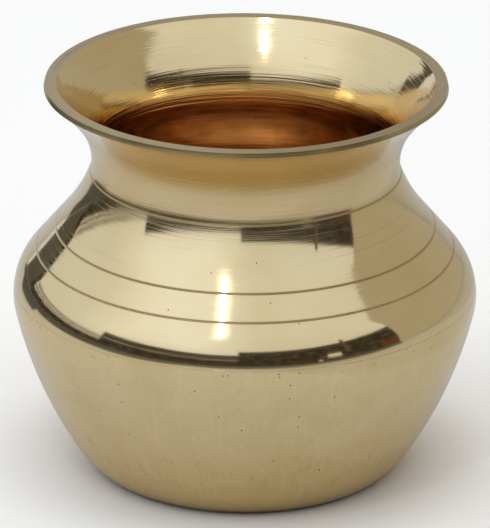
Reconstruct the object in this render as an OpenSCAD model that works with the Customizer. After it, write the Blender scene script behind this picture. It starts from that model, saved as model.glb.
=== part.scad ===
// Brass kalash pot: a small round water pot with a waisted neck and a wide flat-topped lip.
// It is two turned castings, a bowl and a shoulder that carries the mouth. They lap just
// above the widest girth, where a thin ring of brazing filler joins them.
// Origin: centre of the resting face. +Z is up and is the axis of the pot. Millimetres.

/* [Body] */
// Diameter at the widest girth
girth_d = 102; // [96:1:120]
// Wall thickness of both castings
wall = 1.8; // [1.4:0.1:2.2]
// Thickness of the floor of the bowl
floor_t = 2.6; // [2.2:0.1:3.2]

/* [Bowl] */
// Radius of the rounded edge around the resting face
edge_r = 3.6; // [3.2:0.1:5]
// Steepness of the wall, in degrees from level, where the edge ends and the heel starts
edge_slope = 40; // [34:1:46]
// Radius of the heel above the edge
heel_r = 22; // [18:1:26]
// Steepness, in degrees, where the heel ends and the flank starts
heel_slope = 57.5; // [52:0.5:62]
// Radius of the slightly bowed flank
flank_r = 97.5; // [85:0.5:105]
// Steepness, in degrees, where the flank ends and the girth starts
flank_slope = 77; // [72:0.5:80]
// Radius of the rounded girth
girth_r = 14; // [12:0.5:16]

/* [Shoulder and neck] */
// Steepness of the straight shoulder, in degrees from level
shoulder_slope = 50; // [46:0.5:54]
// Radius of the hollow curve that turns the shoulder up towards the neck
blend_r = 37; // [30:1:40]
// Steepness, in degrees, where that curve meets the tighter corner of the neck
corner_slope = 70; // [64:1:74]
// Radius of the corner below the throat
corner_r = 6.6; // [5:0.2:9]
// Diameter of the throat, the narrowest part of the neck
throat_d = 67.6; // [64:0.2:70]

/* [Mouth] */
// Radius of the neck above the throat
neck_r = 16.5; // [14:0.5:19]
// Steepness, in degrees, where the neck ends and the flare starts
flare_slope = 56; // [52:1:60]
// Radius of the flare below the lip
flare_r = 33; // [28:1:38]
// Outer diameter of the mouth, at the lower edge of the lip's face
mouth_d = 88.4; // [84:0.2:90]
// Height of the nearly upright face around the lip
lip_face_h = 1.1; // [0.8:0.1:1.6]
// How far that face leans in from its lower to its upper edge
lip_lean = 0.3; // [0.1:0.05:0.5]
// Width of the flat land on top of the lip
land_w = 2.7; // [2.2:0.1:3.2]

/* [Turned lines] */
// Height of the upper engraved line above the resting face
upper_line_z = 55.6; // [54:0.1:57]
// Height of the lower engraved line
lower_line_z = 50.6; // [49:0.1:52]
// Width of both engraved lines
line_w = 0.5; // [0.3:0.05:0.8]
// Depth of both engraved lines
line_depth = 0.22; // [0.1:0.02:0.4]
// Height of the finer line that marks the foot of the neck
neck_line_z = 68.2; // [67.6:0.1:69]
// Width of the neck line
neck_line_w = 0.35; // [0.2:0.05:0.5]
// Depth of the neck line
neck_line_depth = 0.16; // [0.1:0.02:0.3]

/* [Brazed seam] */
// Height of the seam above the widest point of the girth
seam_rise = 1.75; // [1:0.05:2.5]
// Height by which the bowl's spigot stands up inside the shoulder
lap_h = 2.6; // [2:0.1:3]
// Thickness of the brazing filler
braze_t = 0.2; // [0.15:0.05:0.3]
// Width of the bead of filler left inside the pot
bead_w = 1.6; // [1.2:0.1:2.4]
// How far that bead stands out of the wall
bead_proud = 0.5; // [0.3:0.1:0.8]

/* [Base] */
// Diameter of the shallow recess turned into the resting face
recess_d = 48; // [40:1:52]
// Depth of that recess
recess_depth = 0.5; // [0.3:0.1:0.8]
// Diameter of the lathe centre mark in the middle of the recess
centre_mark_d = 2.4; // [1.6:0.2:3]

/* [Hidden] */

LEVEL_OUT = 0;
UPRIGHT = 90;
LEVEL_IN = 180;
HALF_TURN = 180;
// Largest turn between two points of an arc, in degrees
ARC_STEP = 2.5;
TURN_FACES = 180;
BEAD_POINTS = 12;
// Depth of the centre mark as a share of its radius
MARK_STEEPNESS = 0.5;
// Share of the girth's height over which the wall thickens towards the floor
FOOT_SHARE = 0.5;

// A run is a list of [radius, height, heading] points along the outer skin, from the base up.
// The heading is the direction of travel in degrees: 0 is outwards, 90 up and 180 inwards.
// An arc bends inwards over the pot when its heading grows, and outwards when it falls.
function arc_point(start, r, from, to) =
    let (side = to > from ? 1 : -1)
    [start[0] + side * r * (sin(to) - sin(from)), start[1] - side * r * (cos(to) - cos(from)), to];
function arc_run(start, r, from, to) =
    let (steps = ceil(abs(to - from) / ARC_STEP))
    [for (i = [0:steps]) arc_point(start, r, from, from + (to - from) * i / steps)];
function first(list) = list[0];
function last(list) = list[len(list) - 1];
function rest(list) = [for (i = [1:len(list) - 1]) list[i]];
function reversed(list) = [for (i = [len(list) - 1:-1:0]) list[i]];
function turn_along(length, r) = length / r * HALF_TURN / PI;

// The bowl's arcs climb from the resting face, so the girth fixes how wide that face is.
function bowl_from(radius) =
    let (edge = arc_run([radius, 0], edge_r, LEVEL_OUT, edge_slope),
         heel = arc_run(last(edge), heel_r, edge_slope, heel_slope),
         flank = arc_run(last(heel), flank_r, heel_slope, flank_slope),
         girth = arc_run(last(flank), girth_r, flank_slope, UPRIGHT))
    concat(edge, rest(heel), rest(flank), rest(girth));
base_radius = girth_d / 2 - last(bowl_from(0))[0];
bowl_to_girth = bowl_from(base_radius);
girth = last(bowl_to_girth);

// Headings on the girth's arc at the foot and the top of the lap, for the bowl and, one
// thickness of filler higher, for the shoulder.
function girth_run(from, to) = arc_run(arc_point(girth, girth_r, UPRIGHT, from), girth_r, from, to);
filler_turn = turn_along(braze_t, girth_r);
seam_heading = acos(-seam_rise / girth_r);
lap_heading = acos(-(seam_rise + lap_h) / girth_r);
spigot_run = girth_run(seam_heading, lap_heading);
tongue_run = girth_run(seam_heading + filler_turn, lap_heading + filler_turn);
bowl_run = concat(bowl_to_girth, rest(girth_run(UPRIGHT, seam_heading)));

// The straight shoulder is as long as it must be to bring the neck to the throat's radius.
shoulder_heading = LEVEL_IN - shoulder_slope;
corner_heading = LEVEL_IN - corner_slope;
brow_run = girth_run(lap_heading + filler_turn, shoulder_heading);
shoulder_top_r = throat_d / 2 + corner_r * (1 - sin(corner_slope))
    + blend_r * (sin(corner_slope) - sin(shoulder_slope));
shoulder_top_z = last(brow_run)[1] + (last(brow_run)[0] - shoulder_top_r) * tan(shoulder_slope);
blend_run = arc_run([shoulder_top_r, shoulder_top_z], blend_r, shoulder_heading, corner_heading);
corner_run = arc_run(last(blend_run), corner_r, corner_heading, UPRIGHT);
neck_run = arc_run(last(corner_run), neck_r, UPRIGHT, flare_slope);
lip_slope = asin(sin(flare_slope) - (mouth_d / 2 - last(neck_run)[0]) / flare_r);
flare_run = arc_run(last(neck_run), flare_r, flare_slope, lip_slope);
shoulder_run = concat(brow_run, blend_run, rest(corner_run), rest(neck_run), rest(flare_run));

// The wall thickens smoothly from the throat to the lip, and from the flank to the floor.
foot_z = FOOT_SHARE * girth[1];
throat_z = last(corner_run)[1];
flare_top_z = last(flare_run)[1];
pot_h = flare_top_z + lip_face_h;
land_outer_r = mouth_d / 2 - lip_lean;
land_inner_r = land_outer_r - land_w;
lip_wall = (mouth_d / 2 - land_inner_r) * sin(lip_slope) + lip_face_h * cos(lip_slope);
function thickness(z) =
    let (towards_lip = max(0, (z - throat_z) / (flare_top_z - throat_z)),
         towards_floor = max(0, 1 - z / foot_z))
    wall + (lip_wall - wall) * pow(towards_lip, 2) + (floor_t - wall) * pow(towards_floor, 2);

// Points at a given depth below the outer skin, measured square to it.
function beneath(p, depth) = [p[0] - depth * sin(p[2]), p[1] + depth * cos(p[2])];
function skin(run, depth) = [for (p = run) beneath(p, depth)];
// The inner skin stops short of the land, whose inner corner lies on its line.
function inner_skin(run) =
    [for (p = run) let (q = beneath(p, thickness(p[1]))) if (q[1] < pot_h) q];

// The filler lies in the middle of the wall, between the spigot and the shoulder's tongue.
tongue_depth = (wall - braze_t) / 2;
spigot_depth = (wall + braze_t) / 2;
bead_turn = turn_along(bead_w / 2, girth_r - wall);
bead = [for (i = [0:BEAD_POINTS])
    let (along = HALF_TURN * i / BEAD_POINTS,
         heading = lap_heading + filler_turn / 2 + bead_turn * cos(along))
    beneath(arc_point(girth, girth_r, UPRIGHT, heading), wall + bead_proud * sin(along))];

// [height, width, depth] of each turned line on the shoulder
LINES = [
    [lower_line_z, line_w, line_depth],
    [upper_line_z, line_w, line_depth],
    [neck_line_z, neck_line_w, neck_line_depth],
];

module bowl_section() {
    mark_r = centre_mark_d / 2;
    recess = [
        [0, recess_depth + MARK_STEEPNESS * mark_r],
        [mark_r, recess_depth],
        [recess_d / 2 - recess_depth, recess_depth],
        [recess_d / 2, 0],
    ];
    polygon(concat(
        recess,
        skin(bowl_run, 0),
        skin(spigot_run, spigot_depth),
        reversed(skin(spigot_run, wall)),
        rest(reversed(inner_skin(bowl_run))),
        [[0, floor_t]]
    ));
}

module filler_section() {
    polygon(concat(
        [beneath(first(spigot_run), 0), beneath(first(tongue_run), 0)],
        skin(tongue_run, tongue_depth),
        [beneath(last(tongue_run), wall)],
        bead,
        [beneath(last(spigot_run), wall)],
        reversed(skin(spigot_run, spigot_depth))
    ));
}

module shoulder_section() {
    polygon(concat(
        skin(tongue_run, 0),
        skin(rest(shoulder_run), 0),
        [[land_outer_r, pot_h], [land_inner_r, pot_h]],
        reversed(inner_skin(shoulder_run)),
        reversed(skin(tongue_run, tongue_depth))
    ));
}

// A V across the skin at one height. Its mouth is drawn twice the line's width and depth,
// so that it opens through the skin.
module line_cut(z, w, depth) {
    radius = lookup(z, [for (p = shoulder_run) [p[1], p[0]]]);
    heading = lookup(z, [for (p = shoulder_run) [p[1], p[2]]]);
    translate([radius, z])
        rotate(heading - UPRIGHT)
            polygon([[-depth, 0], [depth, -w], [depth, w]]);
}

module lower_bowl() {
    color("#c4ab72")
        rotate_extrude($fn = TURN_FACES)
            bowl_section();
}

module girth_braze() {
    color("#a8853f")
        rotate_extrude($fn = TURN_FACES)
            filler_section();
}

module upper_shell() {
    color("#dcc794")
        rotate_extrude($fn = TURN_FACES)
            difference() {
                shoulder_section();
                for (line = LINES)
                    line_cut(line[0], line[1], line[2]);
            }
}

lower_bowl();
girth_braze();
upper_shell();
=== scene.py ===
"""Looks of the brass kalash pot: turned and hand-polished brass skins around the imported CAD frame.

Each CAD piece is cut through its axis, and the outline found there is smoothed, given soft edges
and turned again at high resolution. The CAD model stays the only source of the pot's shape.
Lengths are in metres, in the pot's own frame: origin in the middle of the resting face, +Z up.
"""

import math

import bmesh
import bpy
import numpy as np
from mathutils import Matrix, Vector


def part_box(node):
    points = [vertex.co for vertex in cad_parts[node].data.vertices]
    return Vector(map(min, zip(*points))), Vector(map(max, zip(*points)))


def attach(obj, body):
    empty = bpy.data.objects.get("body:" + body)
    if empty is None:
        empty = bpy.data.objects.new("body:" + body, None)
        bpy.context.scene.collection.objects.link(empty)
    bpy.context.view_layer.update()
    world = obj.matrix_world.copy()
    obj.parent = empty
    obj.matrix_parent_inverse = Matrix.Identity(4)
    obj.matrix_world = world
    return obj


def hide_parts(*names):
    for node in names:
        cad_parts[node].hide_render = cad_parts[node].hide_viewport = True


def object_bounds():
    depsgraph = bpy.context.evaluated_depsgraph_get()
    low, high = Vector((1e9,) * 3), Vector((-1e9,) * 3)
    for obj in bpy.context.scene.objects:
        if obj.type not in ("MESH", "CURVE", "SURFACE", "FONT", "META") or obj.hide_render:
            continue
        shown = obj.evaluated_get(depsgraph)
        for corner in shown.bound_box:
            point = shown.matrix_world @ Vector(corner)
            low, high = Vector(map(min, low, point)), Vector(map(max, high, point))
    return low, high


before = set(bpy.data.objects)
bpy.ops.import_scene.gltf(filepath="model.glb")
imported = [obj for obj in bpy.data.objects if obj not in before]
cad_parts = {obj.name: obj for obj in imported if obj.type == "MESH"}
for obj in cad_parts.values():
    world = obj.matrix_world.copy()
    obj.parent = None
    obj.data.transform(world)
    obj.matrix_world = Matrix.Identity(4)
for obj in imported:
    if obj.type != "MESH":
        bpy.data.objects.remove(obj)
cad_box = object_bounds()

MM = 0.001
POT_HEIGHT = cad_box[1].z
GIRTH_RADIUS = cad_box[1].x

SEAM_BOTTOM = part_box("girth_braze")[0].z
SEAM_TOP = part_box("upper_shell")[0].z
LIP_ZONE = 1.5 * MM

# Reading the outlines: points closer than WELD are one, and turns below STRAIGHT_TURN are none.
WELD = 0.001 * MM
STRAIGHT_TURN = math.radians(0.05)
CORNER_TURN = math.radians(25)
# A chord this many times longer than its neighbour is a straight stretch, not part of an arc.
LONG_CHORD = 3
# How far apart the finished points are, along a curve and along a wide level face, and round the pot
SKIN_STEP = 0.42 * MM
FLAT_STEP = 2.4 * MM
TURNED_SEGMENTS = 256

# Soft edges: how far from the corner each starts, which is less in the seam, so that it stays shut
EDGE_ROUND = 0.05 * MM
SEAM_ROUND = 0.008 * MM
LIP_ROUND = 0.08 * MM
EDGE_HOLD = 0.02 * MM
ROUND_POINTS = 4
# A soft edge takes up no more than this part of the run that it is cut from.
MOST_CUT = 0.4

# Unevenness that lathe and polishing wheel left in the surface, always into the metal: fine ripples
# that run nearly level, and wide waves that climb as they go round. A wave comes a whole number of
# times round the pot, from the first number of its turns to below the second.
SEED = 5
RIPPLE_COUNT = 14
RIPPLE_LENGTHS = (1.5 * MM, 5.5 * MM)
RIPPLE_TURNS = (0, 2)
RIPPLE_DEPTH = 0.018 * MM
WANDER_COUNT = 12
WANDER_LENGTHS = (22 * MM, 60 * MM)
WANDER_TURNS = (1, 7)
WANDER_DEPTH = 0.06 * MM
# Round the seam the three pieces' surfaces are pressed straight inwards, so that they stay flush.
SEAM_ZONE = 0.6 * MM
# How much the radius adds to the height as the unevenness's place, so that level faces vary too
RADIUS_SHARE = 0.37

# How far patina reaches from the bottom of a groove
GROOVE_REACH = 0.3 * MM
# The upward part of the normal from which a face counts as the inner floor or as the lip's land
FLOOR_NORMAL = 0.5
LAND_NORMAL = 0.94


# ---------------------------------------------------------------- outlines from the CAD pieces

def half_section(node):
    """A CAD piece's outline in the half plane y = 0, x >= 0, as complex numbers radius + 1j * height."""
    bm = bmesh.new()
    bm.from_mesh(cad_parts[node].data)
    bmesh.ops.remove_doubles(bm, verts=bm.verts, dist=WELD)
    everything = bm.verts[:] + bm.edges[:] + bm.faces[:]
    cut = bmesh.ops.bisect_plane(
        bm, geom=everything, dist=WELD, plane_co=(0, 0, 0), plane_no=(0, 1, 0))["geom_cut"]
    links = {}
    for edge in cut:
        if isinstance(edge, bmesh.types.BMEdge) and all(v.co.x > -WELD for v in edge.verts):
            a, b = edge.verts
            links.setdefault(a, []).append(b)
            links.setdefault(b, []).append(a)
    ends = sorted((v for v in links if len(links[v]) == 1), key=lambda v: v.co.z)
    closed = not ends
    start = max(links, key=lambda v: (-round(v.co.z / WELD), v.co.x)) if closed else ends[0]
    walk, before = [start], None
    while True:
        onward = [v for v in links[walk[-1]] if v is not before and (v is not start or len(walk) > 2)]
        if not onward or (closed and onward[0] is start):
            break
        before = walk[-1]
        walk.append(onward[0])
    points = np.array([complex(v.co.x, v.co.z) for v in walk])
    bm.free()
    if not closed:
        points = np.concatenate([[1j * points[0].imag], points, [1j * points[-1].imag]])
        points = points[np.concatenate([[True], np.abs(np.diff(points)) > WELD])]
    return without_straight_points(points, closed), closed


def turns_at(points, closed):
    """The change of heading at each point, positive to the left. An open outline's ends turn by 0."""
    before, after = np.roll(points, 1), np.roll(points, -1)
    with np.errstate(invalid="ignore"):
        turn = np.angle((after - points) / (points - before))
    if not closed:
        turn[0] = turn[-1] = 0
    return turn


def without_straight_points(points, closed):
    """The points at which the outline turns, in the order that has the metal on the left."""
    keep = np.abs(turns_at(points, closed)) > STRAIGHT_TURN
    if not closed:
        keep[0] = keep[-1] = True
    points = points[keep]
    area = np.sum((points.real * np.roll(points.imag, -1) - np.roll(points.real, -1) * points.imag))
    return points if area > 0 else points[::-1]


def smooth_run(points):
    """The cubic curve through a run's points, which turn no corner, with a sample at each step."""
    chords = np.diff(points)
    lengths = np.abs(chords)
    headings = np.unwrap(np.angle(chords))
    tangents = np.concatenate([headings[:1], (headings[1:] + headings[:-1]) / 2, headings[-1:]])
    for i in range(1, len(chords)):
        if lengths[i - 1] > LONG_CHORD * lengths[i]:
            tangents[i] = headings[i - 1]
        elif lengths[i] > LONG_CHORD * lengths[i - 1]:
            tangents[i] = headings[i]
    if len(chords) > 1:
        tangents[0] = 2 * headings[0] - tangents[1]
        tangents[-1] = 2 * headings[-1] - tangents[-2]
    samples = [points[:1]]
    for i, (start, chord) in enumerate(zip(points, chords)):
        level = abs(chord.imag) < WELD and lengths[i] > FLAT_STEP
        count = math.ceil(lengths[i] / (FLAT_STEP if level else SKIN_STEP))
        t = np.arange(1, count + 1) / count
        leave = lengths[i] * np.exp(1j * tangents[i])
        arrive = lengths[i] * np.exp(1j * tangents[i + 1])
        samples.append(
            start + chord * (3 * t**2 - 2 * t**3) + leave * (t**3 - 2 * t**2 + t) + arrive * (t**3 - t**2))
    return np.concatenate(samples)


def trimmed(run, head, tail):
    """The run without its first head and last tail metres, with a point held close to each end,
    so that the shading of a soft edge doesn't spread."""
    along = np.concatenate([[0], np.cumsum(np.abs(np.diff(run)))])
    stop = along[-1] - tail
    held = min(EDGE_HOLD, (stop - head) / 4)
    inner = run[(along > head + 2 * held) & (along < stop - 2 * held)]
    places = [head, head + held, stop - held, stop]
    ends = np.interp(places, along, run.real) + 1j * np.interp(places, along, run.imag)
    return np.concatenate([ends[:2], inner, ends[2:]])


def finished_outline(node):
    """The outline as dense points, with a weight that is 1 in the bottom of each groove."""
    points, closed = half_section(node)
    turn = turns_at(points, closed)
    corners = [i for i in range(len(points)) if abs(turn[i]) > CORNER_TURN]
    if closed:
        first = corners[0]
        turn = np.roll(turn, -first)
        points = np.roll(points, -first)
        corners = [i - first for i in corners] + [len(points)]
        points = np.append(points, points[0])
    else:
        corners = [0] + corners + [len(points) - 1]
    turn = np.append(turn, turn[0])
    runs = [smooth_run(points[a:b + 1]) for a, b in zip(corners, corners[1:])]
    lengths = [np.sum(np.abs(np.diff(run))) for run in runs]

    def corner_cut(k):
        """How far from corner k its rounding starts."""
        if not closed and k in (0, len(runs)):
            return 0
        size = edge_round(points[corners[k]].imag)
        return min(size, MOST_CUT * lengths[k % len(runs)], MOST_CUT * lengths[k - 1])

    pieces = []
    grooves = []
    for k, run in enumerate(runs):
        cut = corner_cut(k)
        run = trimmed(run, cut, corner_cut((k + 1) % len(runs) if closed else k + 1))
        if cut:
            corner = points[corners[k]]
            arrive = corner - cut * np.exp(1j * heading_before(runs[k - 1]))
            t = (np.arange(ROUND_POINTS) + 0.5)[:, None] / ROUND_POINTS
            arc = (1 - t)**2 * arrive + 2 * t * (1 - t) * corner + t**2 * run[0]
            pieces.append(arc[:, 0])
            if turn[corners[k]] < 0:
                grooves.append(corner)
        pieces.append(run)
    outline = np.concatenate(pieces)
    patina = np.zeros(len(outline))
    for corner in grooves:
        patina = np.maximum(patina, np.exp(-(np.abs(outline - corner) / GROOVE_REACH)**2))
    return outline, patina, closed


def heading_before(run):
    return np.angle(run[-1] - run[-2])


def edge_round(height):
    if height > POT_HEIGHT - LIP_ZONE:
        return LIP_ROUND
    return SEAM_ROUND if SEAM_BOTTOM - WELD < height < SEAM_TOP + WELD else EDGE_ROUND


# ---------------------------------------------------------------- turned meshes

def waves(count, lengths, turns, rng):
    """Parts of a smooth random surface: wave number along, turns around, phase and share of depth."""
    length = rng.uniform(*lengths, count)
    order = rng.integers(*turns, count)
    phase = rng.uniform(0, 2 * np.pi, count)
    return list(zip(2 * np.pi / length, order, phase, length / length.sum()))


def unevenness(outline, angle):
    """Depth below the true surface at each outline point and angle, the same on both sides of the seam."""
    along = outline.imag + RADIUS_SHARE * outline.real
    rng = np.random.default_rng(SEED)
    depth = 0
    for parts, amount in (
        (waves(RIPPLE_COUNT, RIPPLE_LENGTHS, RIPPLE_TURNS, rng), RIPPLE_DEPTH),
        (waves(WANDER_COUNT, WANDER_LENGTHS, WANDER_TURNS, rng), WANDER_DEPTH),
    ):
        for number, order, phase, share in parts:
            wave = np.sin(number * along[:, None] + order * angle[None, :] + phase)
            depth = depth + amount * share * (1 + wave)
    return depth


def along_and_outward(outline, closed):
    """The length from the outline's start and the direction out of the metal, at each point."""
    beyond = outline[:1] if closed else outline[-1:] * 2 - outline[-2:-1]
    chords = np.diff(outline, append=beyond)
    along = np.concatenate([[0], np.cumsum(np.abs(chords))[:-1]])
    tangent = chords + np.roll(chords, 1) if closed else np.gradient(outline)
    return along, -1j * tangent / np.abs(tangent)


def turned_mesh(name, grid, angle, closed):
    """The surface through a grid of points, each radius + 1j * height, by outline point and angle."""
    vertices = np.stack([grid.real * np.cos(angle), grid.real * np.sin(angle), grid.imag], axis=-1)
    index = np.arange(grid.size).reshape(grid.shape)
    last = len(grid) if closed else len(grid) - 1
    here = index[:last]
    above = np.roll(index, -1, axis=0)[:last]
    quads = np.stack([here, np.roll(here, -1, axis=1), np.roll(above, -1, axis=1), above], axis=-1)
    mesh = bpy.data.meshes.new(name)
    mesh.from_pydata(vertices.reshape(-1, 3).tolist(), [], quads.reshape(-1, 4).tolist())
    return mesh


def merge_doubles(mesh):
    bm = bmesh.new()
    bm.from_mesh(mesh)
    bmesh.ops.remove_doubles(bm, verts=bm.verts, dist=WELD / 10)
    bmesh.ops.recalc_face_normals(bm, faces=bm.faces)
    bm.to_mesh(mesh)
    bm.free()


def turned(name, node):
    """A fine mesh turned from a CAD piece's outline, with what its material reads as attributes."""
    outline, patina, closed = finished_outline(node)
    along, outward = along_and_outward(outline, closed)
    angle = 2 * np.pi * np.arange(TURNED_SEGMENTS) / TURNED_SEGMENTS
    off_axis = outline.real >= WELD
    depth = unevenness(outline, angle) * off_axis[:, None]
    by_seam = (outline.imag > SEAM_BOTTOM - SEAM_ZONE) & (outline.imag < SEAM_TOP + SEAM_ZONE)
    at_girth = outline.real > GIRTH_RADIUS - SEAM_ZONE
    pressed = np.where(by_seam & at_girth, 1, outward)
    mesh = turned_mesh(name, outline[:, None] - depth * pressed[:, None], angle, closed)
    inner_wall = (outward.real < 0) & (outline.imag > 0)
    inner_floor = (outward.imag > FLOOR_NORMAL) & (outline.imag < POT_HEIGHT / 2)
    inside = (inner_wall | inner_floor) & ~at_girth
    land = (outward.imag > LAND_NORMAL) & (outline.imag > POT_HEIGHT - LIP_ZONE)
    for label, values in (("along", along), ("patina", patina), ("inside", inside), ("land", land)):
        attribute = mesh.attributes.new(label, "FLOAT", "POINT")
        attribute.data.foreach_set("value", np.repeat(values, TURNED_SEGMENTS).astype(np.float32))
    merge_doubles(mesh)
    mesh.shade_smooth()
    piece = bpy.data.objects.new(name, mesh)
    bpy.context.scene.collection.objects.link(piece)
    return piece


# ---------------------------------------------------------------- node trees

class Tree:
    """Short calls for the nodes of one material or world. An input is a socket or a constant."""

    def __init__(self, owner):
        owner.use_nodes = True
        self.tree = owner.node_tree
        self.tree.nodes.clear()

    def add(self, kind, inputs=None, output=0, **settings):
        node = self.tree.nodes.new(kind)
        for key, value in settings.items():
            setattr(node, key, value)
        for key, value in (inputs or {}).items():
            self.feed(node.inputs[key], value)
        return node.outputs[output] if len(node.outputs) else node

    def feed(self, socket, value):
        if isinstance(value, bpy.types.NodeSocket):
            self.tree.links.new(value, socket)
        else:
            socket.default_value = value

    def math(self, operation, *values):
        return self.add("ShaderNodeMath", dict(enumerate(values)), operation=operation)

    def chain(self, operation, values):
        result = values[0]
        for value in values[1:]:
            result = self.math(operation, result, value)
        return result

    def product(self, *values):
        return self.chain("MULTIPLY", values)

    def total(self, *values):
        return self.chain("ADD", values)

    def most(self, *values):
        return self.chain("MAXIMUM", values)

    def rest(self, value):
        return self.math("SUBTRACT", 1.0, value)

    def span(self, value, low, high, to_low=0.0, to_high=1.0):
        """Maps low..high smoothly to to_low..to_high, and clamps."""
        inputs = {"Value": value, "From Min": low, "From Max": high, "To Min": to_low, "To Max": to_high}
        return self.add("ShaderNodeMapRange", inputs, interpolation_type="SMOOTHSTEP")

    def between(self, factor, at_none, at_full):
        """Goes from at_none to at_full as factor goes from 0 to 1."""
        return self.span(factor, 0.0, 1.0, at_none, at_full)

    def mix(self, factor, a, b):
        """Goes from colour a to colour b, which are inputs 6 and 7 of a Mix node, and output 2."""
        node = self.tree.nodes.new("ShaderNodeMix")
        node.data_type = "RGBA"
        self.feed(node.inputs[0], factor)
        self.feed(node.inputs[6], a)
        self.feed(node.inputs[7], b)
        return node.outputs[2]

    def noise(self, vector, scale, detail=2.0, roughness=0.5):
        inputs = {"Vector": vector, "Scale": scale, "Detail": detail, "Roughness": roughness}
        return self.add("ShaderNodeTexNoise", inputs)

    def attribute(self, name):
        return self.add("ShaderNodeAttribute", output="Fac", attribute_name=name)

    def vector(self, x, y, z):
        return self.add("ShaderNodeCombineXYZ", {0: x, 1: y, 2: z})

    def axes(self, vector):
        node = self.add("ShaderNodeSeparateXYZ", {0: vector}).node
        return node.outputs[0], node.outputs[1], node.outputs[2]

    def length(self, x, y):
        return self.math("SQRT", self.math("ADD", self.math("POWER", x, 2), self.math("POWER", y, 2)))

    def bearing(self, x, y):
        """Degrees round from -Y, growing towards +X."""
        return self.math("DEGREES", self.math("ARCTAN2", x, self.math("MULTIPLY", y, -1)))


def colour(red, green, blue):
    return (red, green, blue, 1.0)


# ---------------------------------------------------------------- brass

# Shoulder, neck and mouth
BRASS = colour(0.78, 0.60, 0.31)
BRASS_REDDER = colour(0.75, 0.55, 0.265)
BRASS_PALER = colour(0.80, 0.63, 0.345)
BRASS_SCRATCHED = colour(0.46, 0.33, 0.16)
# Painted reflection: darker, more golden brass under the lip
NECK_PAINTED_REFLECTION = colour(0.60, 0.42, 0.17)
# Painted shade on the lip's land and outer face
LIP_PAINTED_SHADE = colour(0.385, 0.275, 0.115)
# Bowl
BOWL = colour(0.80, 0.62, 0.325)
BOWL_REDDER = colour(0.74, 0.56, 0.265)
# Painted shade: darker, more golden brass towards the foot
LOW_BOWL_PAINTED_SHADE = colour(0.72, 0.52, 0.215)
BOWL_STROKE = colour(0.86, 0.69, 0.38)
BOWL_SMUDGE = colour(0.58, 0.43, 0.20)
BOWL_GRAIN = colour(0.66, 0.48, 0.23)
BOWL_HAIR = colour(0.66, 0.50, 0.26)
# Painted shade: a dark line along the foot's edge, standing in for the shadow where the pot meets the
# table
EDGE_PAINTED_SHADE = colour(0.22, 0.15, 0.075)
# Seam
FILLER_REDDER = colour(0.72, 0.53, 0.25)
FILLER_DULL = colour(0.30, 0.20, 0.10)
# Inside (painted bounce light, stains and painted shade), in grooves and in pits
# Painted bounce light: orange brass standing in for light bounced between the inner walls
INNER_PAINTED_BOUNCE = colour(0.88, 0.535, 0.24)
BRASS_STAINED = colour(0.48, 0.27, 0.115)
# Painted shade inside
INNER_PAINTED_SHADE = colour(0.12, 0.09, 0.065)
PATINA = colour(0.46, 0.32, 0.15)
PIT = colour(0.05, 0.035, 0.02)

# In the finishes below, the two numbers after a noise are the levels between which its mark sets in,
# and a number at the end of a product is the mark's strength.

# Heights between which a finish sets in. Where the first is the greater, it sets in downwards.
# The painted shade along the foot's edge
EDGE_SHADE_BELOW = (2.0 * MM, 0.5 * MM)
BOWL_FOOT = (24 * MM, 2 * MM)
# The painted shade inside
PAINTED_SHADE_ABOVE = (6 * MM, 24 * MM)
BUFFED_ABOVE = (34 * MM, 41 * MM)
TURNED_ABOVE = (46 * MM, 56 * MM)
SCRATCHED_ABOVE = (48 * MM, 66 * MM)
CRISP_ABOVE = (57 * MM, 60 * MM)
CRISP_BELOW = (66 * MM, 64.5 * MM)
COARSE_ABOVE = (64.5 * MM, 70 * MM)
NECK_ABOVE = (65 * MM, 70 * MM)
NECK_BELOW = (86 * MM, 80 * MM)
# The painted reflection under the lip
PAINTED_REFLECTION_ABOVE = (72 * MM, 80 * MM)
DEEP_BELOW = (79 * MM, 66 * MM)
LIP_FACE_ABOVE = (POT_HEIGHT - 1.25 * MM, POT_HEIGHT - 1.1 * MM)
# Casting pits by the seam lie within these distances of a level a little below it.
PITTED_LEVEL = SEAM_BOTTOM - 0.9 * MM
PITTED_WITHIN = (0.9 * MM, 0.5 * MM)
# The part of a pit's radius that is at full depth
PIT_MIDDLE = 0.35
QUARTER_TURN = 0.25


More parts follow.
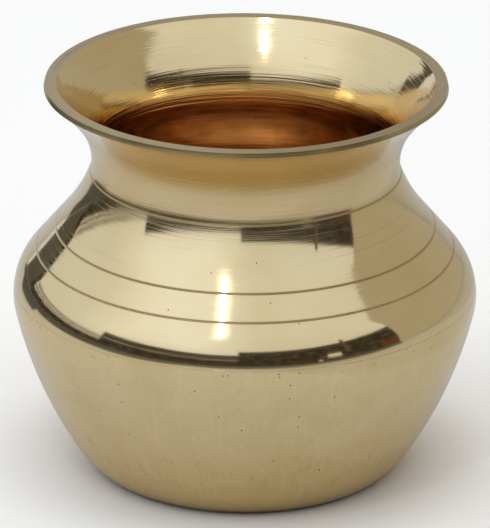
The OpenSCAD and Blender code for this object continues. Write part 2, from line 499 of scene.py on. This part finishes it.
class BrassTree(Tree):
    """What every brass finish shares: where a point is on the pot, tool streaks, pits and patina."""

    def __init__(self, material):
        super().__init__(material)
        self.place = self.add("ShaderNodeTexCoord", output="Object")
        x, y, self.height = self.axes(self.place)
        reach = self.math("MAXIMUM", self.length(x, y), MM)
        self.round_x = self.math("DIVIDE", x, reach)
        self.round_y = self.math("DIVIDE", y, reach)
        self.along = self.attribute("along")
        unrolled = self.product(self.math("ARCTAN2", y, x), GIRTH_RADIUS)
        self.unrolled = self.vector(unrolled, self.along, 0.0)
        self.patina = self.attribute("patina")
        self.inside = self.attribute("inside")
        self.outside = self.rest(self.inside)

    def streaks(self, around, pitch, shift=0.0, detail=2.0):
        """Noise drawn out round the pot: around is how fast it varies over a radian, pitch is its width,
        and shift makes it differ from the others."""
        vector = self.vector(
            self.product(self.round_x, around),
            self.product(self.round_y, around),
            self.math("MULTIPLY_ADD", self.along, 1 / pitch, shift))
        return self.noise(vector, 1.0, detail)

    def strokes(self, width, length, shift=0.0, detail=2.0):
        """Noise drawn out along the outline, as strokes of a polishing wheel held upright."""
        return self.streaks(GIRTH_RADIUS / width, length, shift, detail)

    def pits(self, cell, share, size):
        """1 in the middle of small round pits: cell is their spacing, share the part of the cells that
        hold one, and size the pit's radius as a part of the spacing."""
        inputs = {"Vector": self.unrolled, "Scale": 1 / cell}
        voronoi = self.add("ShaderNodeTexVoronoi", inputs, voronoi_dimensions="2D").node
        chosen = self.math("LESS_THAN", self.axes(voronoi.outputs["Color"])[0], share)
        near = self.span(voronoi.outputs["Distance"], size, size * PIT_MIDDLE)
        return self.product(chosen, near)

    def finish(self, base, roughness, relief, depth, anisotropy):
        """The shader. The bump's height is relief times depth."""
        bump = self.add("ShaderNodeBump", {"Strength": 1.0, "Distance": depth, "Height": relief})
        tangent = self.add("ShaderNodeTangent", direction_type="RADIAL", axis="Z")
        shader = self.add("ShaderNodeBsdfPrincipled", {
            "Base Color": base, "Metallic": 1.0, "Roughness": roughness, "Normal": bump,
            "Anisotropic": anisotropy, "Anisotropic Rotation": QUARTER_TURN, "Tangent": tangent})
        self.add("ShaderNodeOutputMaterial", {"Surface": shader})


def turned_brass():
    """The shoulder, neck and mouth: bright brass with fine rings from the lathe, brown inside with painted
    bounce light and painted shade, painted shade on the lip and a painted reflection under it.
    """
    material = bpy.data.materials.new("turned_brass")
    t = BrassTree(material)
    broad = t.streaks(0.7, 1.1 * MM)
    fine = t.streaks(0.9, 0.34 * MM, 40.0)
    hair = t.streaks(1.6, 0.16 * MM, 90.0, 1.0)
    cloud = t.noise(t.place, 55.0, 3.0)
    turned_only = t.span(t.height, *TURNED_ABOVE, 0.3, 1.0)

    face = t.product(t.outside, t.span(t.height, *LIP_FACE_ABOVE))
    lip = t.most(t.attribute("land"), face)
    neck = t.product(t.outside, t.span(t.height, *NECK_ABOVE), t.span(t.height, *NECK_BELOW))
    under_neck = t.product(t.outside, t.span(t.height, *CRISP_ABOVE), t.span(t.height, *CRISP_BELOW))
    deep = t.product(t.inside, t.span(t.height, *DEEP_BELOW))

    scratches = t.product(
        t.span(t.streaks(1.1, 0.26 * MM, 150.0, 3.0), 0.60, 0.72),
        t.span(t.streaks(3.0, 6.0 * MM, 170.0), 0.4, 0.6, 0.25, 1.0),
        t.span(t.height, *SCRATCHED_ABOVE, 0.25, 1.0))
    # Painted shade: dark patches deep inside, placed by noise
    painted_shade = t.span(t.streaks(1.4, 9 * MM, 310.0, 3.0), 0.48, 0.68)
    stain = t.span(t.streaks(2.5, 1.2 * MM, 330.0, 3.0), 0.45, 0.7)
    pits = t.most(t.pits(3.2 * MM, 0.02, 0.055), t.product(lip, t.pits(1.1 * MM, 0.07, 0.16)))

    base = t.mix(t.span(cloud, 0.3, 0.75), BRASS_PALER, BRASS_REDDER)
    base = t.mix(0.45, base, BRASS)
    base = t.mix(t.product(t.span(fine, 0.55, 0.75), 0.25), base, BRASS_REDDER)
    base = t.mix(t.product(scratches, 0.5), base, BRASS_SCRATCHED)
    # Painted reflection: the neck turns darker and more golden towards the lip, standing in for the brass
    # mirroring itself there
    base = t.mix(t.product(neck, t.span(t.height, *PAINTED_REFLECTION_ABOVE, 0.15, 0.8)), base, NECK_PAINTED_REFLECTION)
    # Painted shade: the lip's land and outer face darkened, standing in for the dark reflection on its
    # outer face
    base = t.mix(t.product(lip, 0.85), base, LIP_PAINTED_SHADE)
    # Painted bounce light: deeper inside, the brass turns orange
    base = t.mix(deep, base, INNER_PAINTED_BOUNCE)
    # Painted shade deep inside
    base = t.mix(t.product(deep, painted_shade, 0.45), base, INNER_PAINTED_SHADE)
    base = t.mix(t.product(deep, stain, 0.3), base, BRASS_STAINED)
    base = t.mix(t.product(t.patina, t.span(broad, 0.2, 0.6, 0.35, 0.75)), base, PATINA)
    base = t.mix(pits, base, PIT)

    dull_rings = t.span(t.streaks(1.2, 0.24 * MM, 20.0), 0.48, 0.68)
    ring_roughness = t.product(turned_only, t.between(under_neck, 0.14, 0.05))
    roughness = t.math("MULTIPLY_ADD", dull_rings, ring_roughness, 0.07)
    roughness = t.total(roughness, t.product(lip, 0.2), t.product(neck, 0.08))
    roughness = t.most(roughness, t.product(t.most(t.patina, pits), 0.45))

    relief = t.total(t.product(broad, 0.5), t.product(fine, 0.4), t.product(hair, 0.16))
    relief = t.product(
        relief, turned_only, t.span(t.height, *COARSE_ABOVE, 0.8, 3.4),
        t.between(deep, 1.0, 2.4), t.between(under_neck, 1.0, 0.6), t.between(lip, 1.0, 0.3))
    relief = t.math("SUBTRACT", relief, t.product(pits, 12.0))
    t.finish(base, roughness, relief, depth=0.018 * MM, anisotropy=0.8)
    return material


def satin_brass():
    """The bowl: duller brass, polished upright by hand, with casting pits, stained inside, with painted
    bounce light and painted shade inside, and painted shade towards the foot and along its edge.
    """
    material = bpy.data.materials.new("satin_brass")
    t = BrassTree(material)
    strokes = t.strokes(0.5 * MM, 14 * MM)
    fine = t.strokes(0.22 * MM, 6 * MM, 30.0)
    rings = t.streaks(2.0, 0.5 * MM, 70.0)
    cloud = t.noise(t.place, 60.0, 4.0, 0.6)
    grain = t.noise(t.place, 900.0, 2.0, 0.6)
    foot = t.span(t.height, *BOWL_FOOT)

    from_pitted = t.math("ABSOLUTE", t.math("SUBTRACT", t.height, PITTED_LEVEL))
    seam_pits = t.product(t.span(from_pitted, *PITTED_WITHIN), t.pits(1.1 * MM, 0.10, 0.15))
    pits = t.most(t.pits(2.6 * MM, 0.04, 0.075), seam_pits)
    smudge = t.product(t.span(t.strokes(2.2 * MM, 6 * MM, 50.0, 3.0), 0.52, 0.78), t.span(foot, 0.0, 0.6))

    base = t.mix(t.span(cloud, 0.35, 0.75), BOWL, BOWL_REDDER)
    # Painted shade: the bowl turns darker and more golden towards the foot, where it mirrors the table in
    # its own shadow
    base = t.mix(t.product(foot, 0.5), base, LOW_BOWL_PAINTED_SHADE)
    base = t.mix(t.product(t.span(strokes, 0.5, 0.8), 0.4), base, BOWL_STROKE)
    base = t.mix(t.product(smudge, 0.6), base, BOWL_SMUDGE)
    base = t.mix(t.product(t.span(grain, 0.42, 0.7), 0.22), base, BOWL_GRAIN)
    base = t.mix(t.product(t.span(fine, 0.55, 0.75), 0.2), base, BOWL_HAIR)
    # Painted shade: a dark line along the foot's edge, standing in for the shadow where the pot meets the
    # table
    base = t.mix(t.product(t.span(t.height, *EDGE_SHADE_BELOW), 0.75), base, EDGE_PAINTED_SHADE)

    stain = t.span(t.streaks(1.2, 2.4 * MM, 110.0, 4.0), 0.42, 0.72)
    # Painted shade: dark patches on the inner wall above the floor, placed by noise
    painted_shade = t.span(t.streaks(1.5, 13 * MM, 210.0, 3.0), 0.36, 0.54)
    painted_shade = t.product(painted_shade, t.span(t.height, *PAINTED_SHADE_ABOVE), 0.85)
    # Painted bounce light inside, with stains and the painted shade over it
    inner = t.mix(painted_shade, t.mix(stain, INNER_PAINTED_BOUNCE, BRASS_STAINED), INNER_PAINTED_SHADE)
    base = t.mix(t.inside, base, inner)
    base = t.mix(t.product(t.patina, 0.8), base, PATINA)
    base = t.mix(pits, base, PIT)

    buffed = t.span(t.height, *BUFFED_ABOVE)
    roughness = t.total(
        t.span(cloud, 0.3, 0.7, 0.22, 0.27), t.product(foot, 0.06), t.product(t.inside, 0.08),
        t.product(buffed, -0.12))
    roughness = t.most(roughness, t.product(pits, 0.6))

    relief = t.total(
        t.product(t.total(strokes, t.product(fine, 0.5)), t.outside),
        t.product(rings, t.between(t.inside, 0.4, 9.0)),
        t.product(t.inside, t.noise(t.place, 250.0, 3.0), 30.0))
    relief = t.math("SUBTRACT", relief, t.product(pits, 14.0))
    t.finish(base, roughness, relief, depth=0.012 * MM, anisotropy=0.3)
    return material


def braze_filler():
    """The seam: filler polished flush outside, with pinholes, and left dull in its bead inside."""
    material = bpy.data.materials.new("braze_filler")
    t = BrassTree(material)
    cloud = t.noise(t.place, 420.0, 3.0, 0.6)
    rings = t.streaks(2.0, 0.5 * MM, 70.0)
    pits = t.pits(0.9 * MM, 0.05, 0.12)

    base = t.mix(t.span(cloud, 0.35, 0.7), BOWL, FILLER_REDDER)
    base = t.mix(t.product(t.inside, t.span(cloud, 0.4, 0.7)), base, FILLER_DULL)
    base = t.mix(pits, base, PIT)
    roughness = t.total(t.span(cloud, 0.3, 0.7, 0.09, 0.14), t.product(t.inside, 0.35))
    relief = t.math("SUBTRACT", t.total(rings, cloud), t.product(pits, 12.0))
    t.finish(base, roughness, relief, depth=0.003 * MM, anisotropy=0.3)
    return material


# ---------------------------------------------------------------- studio

class Panel:
    """A soft-edged rectangle of the studio's walls, seen from the pot. Angles are in degrees:
    bearing 0 is towards -Y and grows towards +X, and rise is above the horizon."""

    def __init__(self, bearing, rise, light, soft=1.5):
        self.bearing = bearing
        self.rise = rise
        self.light = light
        self.soft = soft

    def mask(self, t, bearing, rise):
        edges = []
        for value, (low, high) in ((bearing, self.bearing), (rise, self.rise)):
            edges.append(t.span(value, low - self.soft, low + self.soft))
            edges.append(t.span(value, high + self.soft, high - self.soft))
        return t.product(*edges)


DOME_TOP = colour(0.86, 0.94, 1.10)
DOME_SIDE = colour(0.76, 0.84, 0.98)
BELOW_HORIZON = colour(0.95, 0.945, 0.93)
BRIGHT = colour(1.04, 1.17, 1.46)
HALO = colour(3.0, 3.1, 3.3)
GLOW = colour(13.0, 13.0, 12.5)
WALL = colour(0.47, 0.46, 0.42)
DARK = colour(0.035, 0.036, 0.038)
CLUTTER = colour(0.12, 0.095, 0.075)
DARK_WARM = colour(0.13, 0.10, 0.08)
SHADE = colour(0.06, 0.057, 0.053)
GREY = colour(0.30, 0.32, 0.34)
BROWN = colour(0.15, 0.06, 0.03)
CURTAIN = colour(0.10, 0.105, 0.10)
WINDOW = colour(0.75, 0.76, 0.78)
PANELS = [
    # The window front, the duller wall on the right and the shade under the window
    Panel((-85, -10), (20, 95), BRIGHT, 22.0),
    Panel((81, 185), (-8, 56), WALL, 0.8),
    Panel((-75, -1), (12.5, 21), SHADE, 0.8),
    # The strip light's halo and soft edge
    Panel((-18.5, -14.5), (50, 66), HALO, 7.0),
    Panel((-18, -15), (53.5, 62.5), GLOW, 1.5),
    # The dark room round the table, from behind it on the left to its right
    Panel((-132, -75), (10, 13), GREY, 1.2),
    Panel((-134, -73), (7.6, 9), DARK_WARM, 0.3),
    Panel((-134, -73), (0, 6.6), DARK, 0.5),
    Panel((-75, -1), (0, 12), DARK, 0.5),
    Panel((-3, 81), (0, 28), DARK, 0.8),
    # Things in it
    Panel((-45, -3), (10, 12), DARK_WARM, 0.6),
    Panel((51, 53), (13, 32), DARK_WARM, 0.5),
    Panel((70, 80), (2, 10), BROWN, 1.0),
    Panel((41, 48), (6, 12), WINDOW, 0.6),
    Panel((36, 38), (2, 4), WINDOW, 0.6),
    # Something dark behind the pot on the left
    Panel((-149, -133), (0, 15), CURTAIN, 0.6),
    Panel((-136, -133), (3, 16), DARK, 0.5),
]
DOME_RISES = (10, 75)
# The DARK panels hold dim clutter. Its pace is how much it varies over a degree of bearing and of rise.
CLUTTER_PACE = (0.22, 0.35)
CLUTTER_LEVELS = (0.45, 0.7)
HORIZON_RISES = (0.0, -0.6)


def studio_world():
    """A pale dome with the darker stretches of a room, which make polished brass look like metal."""
    world = bpy.data.worlds.new("studio")
    bpy.context.scene.world = world
    t = Tree(world)
    x, y, z = t.axes(t.add("ShaderNodeTexCoord", output="Generated"))
    bearing = t.bearing(x, y)
    rise = t.math("DEGREES", t.math("ARCSINE", z))
    across, up = CLUTTER_PACE
    clutter = t.noise(t.vector(t.product(bearing, across), t.product(rise, up), 0.0), 1.0, 3.0)
    cluttered = t.mix(t.span(clutter, *CLUTTER_LEVELS), DARK, CLUTTER)
    sky = t.mix(t.span(rise, *DOME_RISES), DOME_SIDE, DOME_TOP)
    for panel in PANELS:
        light = cluttered if panel.light is DARK else panel.light
        sky = t.mix(panel.mask(t, bearing, rise), sky, light)
    sky = t.mix(t.span(rise, *HORIZON_RISES), sky, BELOW_HORIZON)
    background = t.add("ShaderNodeBackground", {"Color": sky, "Strength": 1.0})
    t.add("ShaderNodeOutputWorld", {"Surface": background})


LAMP_COLOUR = (1.0, 0.985, 0.95)


def add_lamp(name, bearing, rise, distance, size, power):
    """A rectangular lamp that faces the pot."""
    data = bpy.data.lights.new(name, "AREA")
    data.shape = "RECTANGLE"
    data.size, data.size_y = size
    data.energy = power
    data.color = LAMP_COLOUR
    lamp = bpy.data.objects.new(name, data)
    lamp.location = looking_from(bearing, rise, distance)
    lamp.rotation_euler = (-lamp.location).to_track_quat("-Z", "Y").to_euler()
    bpy.context.scene.collection.objects.link(lamp)
    return lamp


def looking_from(bearing, rise, distance):
    a, e = math.radians(bearing), math.radians(rise)
    return distance * Vector((math.sin(a) * math.cos(e), -math.cos(a) * math.cos(e), math.sin(e)))


TABLE = colour(0.93, 0.885, 0.80)
FLOOR_REACH = 40.0
# Far from the lamps the floor turns into the pale backdrop that the world goes on with.
BACKDROP_FROM = (0.5, 2.5)
# The brass mirrors a duller table than the one it stands on, as its true table was, with painted light
# under the pot, and painted shade behind it and a little on its right.
TABLE_MIRRORED = colour(0.615, 0.61, 0.61)
MIRRORED_PAINTED_LIGHT = colour(0.78, 0.74, 0.66)
MIRRORED_PAINTED_SHADE = colour(0.48, 0.465, 0.43)
NEAR_WITHIN = (0.062, 0.036)
BEHIND_FROM = (0.06, 0.16)
BEHIND_ACROSS = (-0.1, 0.1)
BEHIND_LEFT_SHARE = 0.35
RIGHT_FROM = (0.06, 0.12)
RIGHT_SHARE = 0.55
# That table ends on the left and in front, with a painted reflection of the dark room beyond it. A painted
# reflection of something dark lies on it behind the pot on the left, and one side of that runs through its
# corner along the first of its bearings.
TABLE_LEFT = (-0.43, -0.45)
TABLE_FRONT = (1.0, 1.1)
ROOM_BEARINGS = (-149, 81)
DARK_THING_CORNER = (-0.187, 0.173)
DARK_THING_BEARINGS = (-149, -117)
DARK_THING_FROM = (0.25, 0.32)
DARK_THING_SIDE = (0.006, -0.008)
BEHIND_AXIS = (0.0, 0.01)
SOFT_BEARING = 1


def beyond_mirrored_table(t, x, y, distance):
    """1 where a mirrored ray would leave the true table and meet the dark room."""
    bearing = t.bearing(x, y)
    left, right = DARK_THING_BEARINGS
    corner_x, corner_y = DARK_THING_CORNER
    beside = t.total(
        t.product(t.math("SUBTRACT", x, corner_x), -math.cos(math.radians(left))),
        t.product(t.math("SUBTRACT", y, corner_y), -math.sin(math.radians(left))))
    thing = t.product(
        t.span(distance, *DARK_THING_FROM),
        t.span(beside, *DARK_THING_SIDE),
        t.span(bearing, right + SOFT_BEARING, right - SOFT_BEARING),
        t.span(y, *BEHIND_AXIS))
    first, last = ROOM_BEARINGS
    within = t.product(
        t.span(bearing, first - SOFT_BEARING, first + SOFT_BEARING),
        t.span(bearing, last + SOFT_BEARING, last - SOFT_BEARING))
    room = t.most(t.span(x, *TABLE_LEFT), t.span(distance, *TABLE_FRONT))
    return t.most(thing, t.product(room, within))


def table_material():
    material = bpy.data.materials.new("floor")
    t = Tree(material)
    x, y, _ = t.axes(t.add("ShaderNodeTexCoord", output="Object"))
    distance = t.length(x, y)
    # Painted light under the pot
    mirrored_table = t.mix(t.span(distance, *NEAR_WITHIN), TABLE_MIRRORED, MIRRORED_PAINTED_LIGHT)
    behind = t.product(t.span(y, *BEHIND_FROM), t.span(x, *BEHIND_ACROSS, BEHIND_LEFT_SHARE, 1.0))
    on_right = t.product(t.span(x, *RIGHT_FROM), RIGHT_SHARE)
    # Painted shade behind the pot and on its right
    mirrored_table = t.mix(t.most(behind, on_right), mirrored_table, MIRRORED_PAINTED_SHADE)
    # Painted reflection of the dark room and of a dark thing
    mirrored_table = t.mix(beyond_mirrored_table(t, x, y, distance), mirrored_table, CURTAIN)
    mirrored = t.add("ShaderNodeLightPath", output="Is Glossy Ray")
    near = t.add("ShaderNodeBsdfPrincipled", {
        "Base Color": t.mix(mirrored, TABLE, mirrored_table), "Roughness": 1.0, "Specular IOR Level": 0.0})
    seen = t.add("ShaderNodeLightPath", output="Is Camera Ray")
    backdrop = t.add("ShaderNodeEmission", {"Color": BELOW_HORIZON})
    far = t.product(t.span(distance, *BACKDROP_FROM), seen)
    shader = t.add("ShaderNodeMixShader", {0: far, 1: near, 2: backdrop})
    t.add("ShaderNodeOutputMaterial", {"Surface": shader})
    return material


def add_floor():
    """A wide matt table under the pot."""
    reach = FLOOR_REACH
    corners = [(-reach, -reach, 0), (reach, -reach, 0), (reach, reach, 0), (-reach, reach, 0)]
    mesh = bpy.data.meshes.new("floor")
    mesh.from_pydata(corners, [], [(0, 1, 2, 3)])
    mesh.materials.append(table_material())
    floor = bpy.data.objects.new("floor", mesh)
    bpy.context.scene.collection.objects.link(floor)


# The photo's camera, as fitted to the pot's outline in it. Lens and sensor are in millimetres.
CAMERA_RISE = 21.9
CAMERA_DISTANCE = 1.5
CAMERA_LENS = 465.1
CAMERA_SENSOR = 36
CAMERA_CLIP = (0.1, 100)
CAMERA_ROLL = 0.4
AIM_HEIGHT = 0.516 * POT_HEIGHT


def add_camera():
    data = bpy.data.cameras.new("camera")
    data.lens = CAMERA_LENS
    data.sensor_width = CAMERA_SENSOR
    data.clip_start, data.clip_end = CAMERA_CLIP
    camera = bpy.data.objects.new("camera", data)
    back = looking_from(0, CAMERA_RISE, 1.0)
    camera.location = Vector((0, 0, AIM_HEIGHT)) + CAMERA_DISTANCE * back
    facing = (-back).to_track_quat("-Z", "Y").to_matrix()
    camera.rotation_euler = (facing @ Matrix.Rotation(math.radians(CAMERA_ROLL), 3, "Z")).to_euler()
    bpy.context.scene.collection.objects.link(camera)
    bpy.context.scene.camera = camera


def add_pot():
    finishes = (
        ("bowl_skin", "lower_bowl", satin_brass()),
        ("seam_ring", "girth_braze", braze_filler()),
        ("shoulder_skin", "upper_shell", turned_brass()),
    )
    for name, node, material in finishes:
        piece = turned(name, node)
        piece.data.materials.append(material)
        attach(piece, "root")
        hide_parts(node)


scene = bpy.context.scene
scene.view_settings.view_transform = "Standard"
scene.cycles.glossy_bounces = 12
scene.cycles.max_bounces = 16
add_camera()
studio_world()
add_lamp("strip_light", bearing=-16.5, rise=58, distance=1.2, size=(0.02, 0.22), power=0.3)
# The overhead softbox lights the table, and stays out of what the brass mirrors.
softbox = add_lamp("softbox", bearing=0, rise=89, distance=1.6, size=(1.5, 1.5), power=9.0)
softbox.visible_glossy = False
softbox.visible_camera = False
add_floor()
add_pot()
